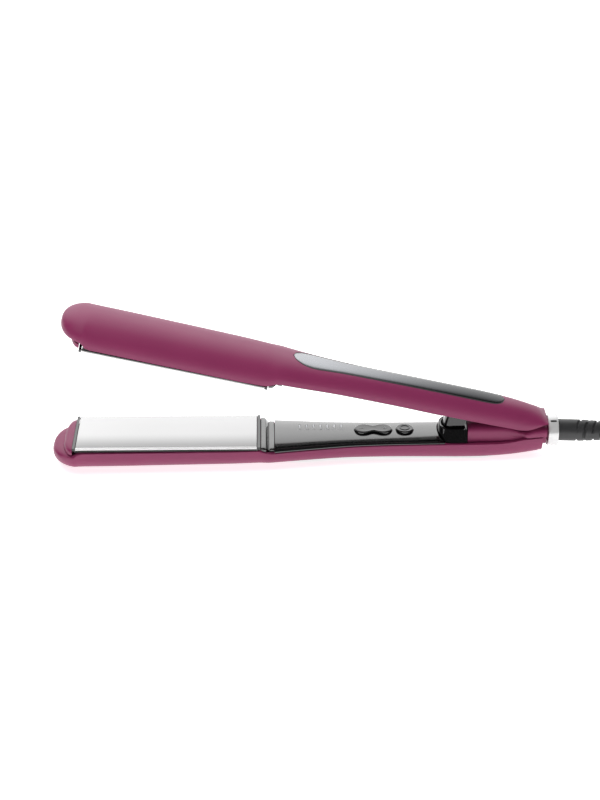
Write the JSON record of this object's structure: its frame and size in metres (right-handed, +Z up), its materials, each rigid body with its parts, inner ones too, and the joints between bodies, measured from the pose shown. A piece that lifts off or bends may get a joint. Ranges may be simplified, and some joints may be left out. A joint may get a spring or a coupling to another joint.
{
  "type": "flat iron",
  "caption": "Hair straightener with two hinged arms, floating flat heating plates, a sprung hinge, control buttons, a twist ring and a swivelling mains lead.",
  "frame": {"origin": "centre of the resting footprint of the iron itself (cord not counted), on the surface it lies on", "axes": "+X along the iron towards the cord end, +Y across the plates along the hinge pin towards the far side as seen with the tip on the left, +Z up"},
  "size_m": [0.5501, 0.0622, 0.1016],
  "materials": {
    "plum_soft_touch": "satin soft-touch lacquer on moulded plastic, plum",
    "gloss_black": "high-gloss black moulded plastic",
    "gunmetal": "gunmetal grey satin-gloss moulded plastic",
    "titanium": "mirror-smooth titanium-coated aluminium plate",
    "steel": "plain steel",
    "silver": "bright plated ring",
    "ceramic": "off-white ceramic, matt",
    "rubber": "dark grey flexible PVC, satin",
    "board": "green solder mask",
    "clear": "milky clear acrylic",
    "nickel_brass": "turned brass"
  },
  "bodies": {
    "lower_arm": {"lower_outer_shell": "plum_soft_touch", "lower_tip_frame": "plum_soft_touch", "lower_plate_seal": "gloss_black", "lower_heat_collar": "gunmetal", "lower_inner_cover": "gloss_black", "lower_grip_inlay": "gunmetal", "lower_pad_front": "rubber", "lower_pad_rear": "rubber", "led_light_guide": "clear", "control_board": "board", "minus_switch": "steel", "plus_switch": "steel", "power_switch": "steel", "board_screw_front": "steel", "board_screw_rear": "steel", "hinge_block": "plum_soft_touch", "hinge_pin": "steel", "spring_cup": "gloss_black", "opening_spring": "steel", "cord_lead": "rubber", "cord_hank": "rubber", "cord_tail": "rubber", "cord_tie": "gloss_black", "plug_body": "rubber", "plug_pin_a": "nickel_brass", "plug_pin_b": "nickel_brass"},
    "upper_arm": {"upper_outer_shell": "plum_soft_touch", "upper_tip_frame": "plum_soft_touch", "upper_plate_seal": "gloss_black", "upper_heat_collar": "gunmetal", "upper_inner_cover": "gloss_black", "upper_grip_inlay": "gunmetal", "upper_pad_front": "rubber", "upper_pad_rear": "rubber", "upper_hinge_lug": "gunmetal", "spring_post": "gloss_black", "post_screw_near": "steel", "post_screw_far": "steel"},
    "lower_plate_carrier": {"lower_plate": "titanium", "lower_heater": "ceramic", "lower_heater_clamp": "steel", "lower_thermistor": "ceramic"},
    "upper_plate_carrier": {"upper_plate": "titanium", "upper_heater": "ceramic", "upper_heater_clamp": "steel", "upper_thermal_fuse": "steel"},
    "power_button": {"power_button": "gloss_black"},
    "temperature_rocker": {"temperature_rocker": "gloss_black"},
    "lock_ring": {"lock_ring": "silver"},
    "strain_relief": {"strain_relief": "rubber"}
  },
  "joints": [
    {"name": "arm_hinge", "type": "hinge", "parent": "lower_arm", "child": "upper_arm", "pos_m": [0.1137, 0, 0.01674], "axis": [0, -1, 0], "range_deg": [0, 13.3], "stiffness_Nm_per_rad": 0.6, "springref_deg": -34.38, "deforming": ["opening_spring"]},
    {"name": "lower_plate_float", "type": "slide", "parent": "lower_arm", "child": "lower_plate_carrier", "axis": [-0.0113, 0, -0.9999], "range_m": [0, 0.0004], "stiffness_N_per_m": 3000, "springref_m": -0.002},
    {"name": "upper_plate_float", "type": "slide", "parent": "upper_arm", "child": "upper_plate_carrier", "axis": [0.241, 0, 0.9705], "range_m": [0, 0.0004], "stiffness_N_per_m": 3000, "springref_m": -0.002},
    {"name": "power_button_press", "type": "slide", "parent": "lower_arm", "child": "power_button", "axis": [-0.0113, 0, -0.9999], "range_m": [0, 0.0006], "stiffness_N_per_m": 150, "springref_m": -0.002},
    {"name": "rocker_tilt", "type": "hinge", "parent": "lower_arm", "child": "temperature_rocker", "pos_m": [0.01681, 0, 0.01383], "axis": [0, 1, 0], "range_deg": [-3, 3], "stiffness_Nm_per_rad": 0.0084},
    {"name": "ring_twist", "type": "hinge", "parent": "lower_arm", "child": "lock_ring", "pos_m": [0.12398, 0, 0.01462], "axis": [0.9999, 0, -0.0113], "range_deg": [0, 45]},
    {"name": "cord_swivel", "type": "hinge", "parent": "lower_arm", "child": "strain_relief", "pos_m": [0.13028, 0, 0.01455], "axis": [0.9989, 0, -0.0462], "continuous": true}
  ]
}
